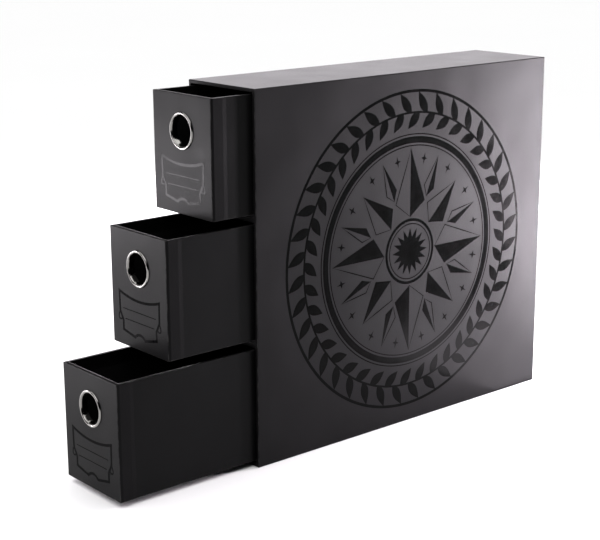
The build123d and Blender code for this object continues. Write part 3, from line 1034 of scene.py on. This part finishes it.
# Each panel: whose light and tint it takes and its share of that light, where it hangs, what it looks at,
# its width and height, and its beam. Panels named low or glow stand close to the floor or lie on it.
PANELS = {
    "right_rear_strip": (
        "right_rear", 1.0, (0.256, 0.459, 0.18), (0.044, 0.12, 0.18), (0.07, 0.26), HALF_OPEN),
    "rear_low_panel": (
        "right_rear", 1.0, (0.100, 0.516, 0.05), (0.044, 0.12, 0.05), (0.07, 0.10), HALF_OPEN),
    "near_low_panel": (
        "right_rear", 1.0, (0.130, 0.360, 0.05), (0.044, 0.12, 0.08), (0.08, 0.09), OPEN),
    "right_glow_panel": (
        "right_rear", 0.10, (0.148, 0.29, 0.0015), (0.148, 0.29, 1.0), (0.204, 0.34), OPEN),
    "left_rear_panel": (
        "left_rear", 1.0, (-0.95, 0.85, 0.62), (0, 0, 0.30), (1.2, 0.7), OPEN),
    "left_front_panel": (
        "left_front", 0.140, (-0.64, -0.68, 0.33), (0, -0.28, 0.20), (0.45, 0.20), NARROW),
    "left_front_low_panel": (
        "left_front", 5.2, (-0.637, -0.669, 0.0975), (0, -0.21, 0.24), (0.088, 0.075), OPEN),
    "left_low_panel": (
        "left_front", 0.46, (-0.80, -0.45, 0.12), (0, -0.28, 0.20), (0.45, 0.20), OPEN),
    "left_glow_panel": (
        "left_front", 0.25, (-0.26, -0.49, 0.0015), (-0.26, -0.49, 1.0), (0.16, 0.14), OPEN),
    "left_side_low_panel": (
        "left_front", 0.8, (-1.10, 0.25, 0.15), (-0.044, 0.05, 0.15), (0.80, 0.24), OPEN),
    "left_rear_low_panel": (
        "left_front", 1.2, (-0.80, 0.85, 0.15), (-0.044, 0, 0.15), (0.80, 0.24), OPEN),
    "front_high_panel": (
        "left_front", 0.22, (0.15, -1.20, 0.95), (0, -0.28, 0.20), (0.90, 0.60), OPEN),
}


def lay_floor(studio):
    """A plain pale floor."""
    half = studio.floor_width / 2
    corners = [(-half, -half, 0), (half, -half, 0), (half, half, 0), (-half, half, 0)]
    mesh = bpy.data.meshes.new("floor")
    mesh.from_pydata(corners, [], [(0, 1, 2, 3)])
    floor = new_piece("floor", mesh)
    colour = studio.floor_colour
    material, tree, shader, place = new_finish("studio_floor", colour, FLOOR_ROUGHNESS, ior=FLOOR_IOR)
    wash = noise(tree, place, FLOOR_WASH, 2)
    tree.links.new(mottled(tree, wash, colour, 0.99, 1.01), shader.inputs["Base Color"])
    give_finish(floor, material)


def hang_panel(name, place, target, size, brightness, tint, beam):
    """A soft light panel that looks at a target. Its brightness is its face's with an open beam."""
    light = bpy.data.lights.new(name, "AREA")
    light.shape = "RECTANGLE"
    light.size, light.size_y = size
    light.energy = brightness * math.pi * size[0] * size[1]
    light.color = tint
    light.spread = math.radians(beam)
    panel = new_piece(name, light)
    panel.location = place
    panel.rotation_euler = (Vector(target) - Vector(place)).to_track_quat("-Z", "Y").to_euler()
    panel.visible_camera = False


def hang_sky(studio):
    """One broad soft light from straight above, as from a large diffuser."""
    light = bpy.data.lights.new("overhead_light", "SUN")
    light.energy = studio.overhead_light
    light.angle = studio.overhead_breadth
    new_piece("overhead_light", light)


def open_room(studio):
    """A pale room beyond the floor, which only the camera sees."""
    world = bpy.data.worlds.new("surroundings")
    world.use_nodes = True
    background = world.node_tree.nodes["Background"]
    background.inputs["Color"].default_value = (1, 1, 1, 1)
    background.inputs["Strength"].default_value = studio.air_light
    bpy.context.scene.world = world
    world.cycles_visibility.diffuse = False
    world.cycles_visibility.glossy = False


def set_lights(studio):
    """The overhead light, the panels round the box and the room."""
    lights = {
        "right_rear": (studio.right_rear_light, studio.right_tint),
        "left_rear": (studio.left_rear_light, studio.left_tint),
        "left_front": (studio.left_front_light, studio.left_tint),
    }
    hang_sky(studio)
    for name, (group, share, place, target, size, beam) in PANELS.items():
        brightness, tint = lights[group]
        hang_panel(name, place, target, size, brightness * share, tint, beam)
    open_room(studio)


def place_camera(studio):
    """The camera, which looks down a little on the box from its front right."""
    camera = bpy.data.cameras.new("camera")
    camera.lens = studio.lens
    camera.sensor_width = SENSOR_WIDTH
    viewer = new_piece("camera", camera)
    yaw = Matrix.Rotation(studio.camera_yaw, 4, "Z")
    pitch = Matrix.Rotation(math.radians(90) - studio.camera_pitch, 4, "X")
    roll = Matrix.Rotation(studio.camera_roll, 4, "Z")
    viewer.matrix_world = Matrix.Translation(studio.camera_place) @ yaw @ pitch @ roll
    bpy.context.scene.camera = viewer


# ---------------------------------------------------------------- operators

class DRAWERBOX_OT_papers(bpy.types.Operator):
    """Finish every paper, card and board of the case and the drawers"""
    bl_idname = "drawerbox.papers"
    bl_label = "Finish papers and boards"

    def execute(self, context):
        papers = context.scene.drawerbox_papers
        finish_case(papers)
        for drawer in DRAWERS:
            finish_drawer(drawer, papers)
        return {"FINISHED"}


class DRAWERBOX_OT_ornament(bpy.types.Operator):
    """Print the compass medallion on the case's two sides"""
    bl_idname = "drawerbox.ornament"
    bl_label = "Print ornament"

    def execute(self, context):
        print_ornament(context.scene.drawerbox_ornament)
        return {"FINISHED"}


class DRAWERBOX_OT_plaques(bpy.types.Operator):
    """Print a label plaque on each drawer's front"""
    bl_idname = "drawerbox.plaques"
    bl_label = "Print label plaques"

    def execute(self, context):
        print_plaques(context.scene.drawerbox_plaque)
        return {"FINISHED"}


class DRAWERBOX_OT_eyelets(bpy.types.Operator):
    """Set a polished finger eyelet and its washer in each drawer's front"""
    bl_idname = "drawerbox.eyelets"
    bl_label = "Set eyelets"

    def execute(self, context):
        set_eyelets(context.scene.drawerbox_eyelet)
        return {"FINISHED"}


class DRAWERBOX_OT_studio(bpy.types.Operator):
    """Lay the floor, hang the lights and place the camera"""
    bl_idname = "drawerbox.studio"
    bl_label = "Set up studio"

    def execute(self, context):
        studio = context.scene.drawerbox_studio
        lay_floor(studio)
        set_lights(studio)
        place_camera(studio)
        context.scene.view_settings.view_transform = "Standard"
        return {"FINISHED"}


# ---------------------------------------------------------------- sidebar

class DRAWERBOX_PT_sidebar(bpy.types.Panel):
    """The drawer box's steps and settings"""
    bl_idname = "DRAWERBOX_PT_sidebar"
    bl_label = "Drawer box"
    bl_space_type = "VIEW_3D"
    bl_region_type = "UI"
    bl_category = "Drawer box"

    def draw(self, context):
        steps = (
            (DRAWERBOX_OT_papers, context.scene.drawerbox_papers),
            (DRAWERBOX_OT_ornament, context.scene.drawerbox_ornament),
            (DRAWERBOX_OT_plaques, context.scene.drawerbox_plaque),
            (DRAWERBOX_OT_eyelets, context.scene.drawerbox_eyelet),
            (DRAWERBOX_OT_studio, context.scene.drawerbox_studio),
        )
        for step, settings in steps:
            box = self.layout.box()
            box.operator(step.bl_idname)
            for name in type(settings).__annotations__:
                box.prop(settings, name)


SETTINGS = {
    "drawerbox_papers": DrawerBoxPapers,
    "drawerbox_ornament": DrawerBoxOrnament,
    "drawerbox_plaque": DrawerBoxPlaque,
    "drawerbox_eyelet": DrawerBoxEyelet,
    "drawerbox_studio": DrawerBoxStudio,
}
CONTROLS = (
    DRAWERBOX_OT_papers,
    DRAWERBOX_OT_ornament,
    DRAWERBOX_OT_plaques,
    DRAWERBOX_OT_eyelets,
    DRAWERBOX_OT_studio,
    DRAWERBOX_PT_sidebar,
)


def register():
    """Make the settings, the operators and the panel known to Blender."""
    for name, group in SETTINGS.items():
        bpy.utils.register_class(group)
        setattr(bpy.types.Scene, name, PointerProperty(type=group))
    for control in CONTROLS:
        bpy.utils.register_class(control)


def unregister():
    """Take them away again."""
    for control in reversed(CONTROLS):
        bpy.utils.unregister_class(control)
    for name, group in SETTINGS.items():
        delattr(bpy.types.Scene, name)
        bpy.utils.unregister_class(group)


def main():
    """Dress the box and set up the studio."""
    register()
    bpy.ops.drawerbox.papers()
    bpy.ops.drawerbox.ornament()
    bpy.ops.drawerbox.plaques()
    bpy.ops.drawerbox.eyelets()
    bpy.ops.drawerbox.studio()


if __name__ == "__main__":
    main()
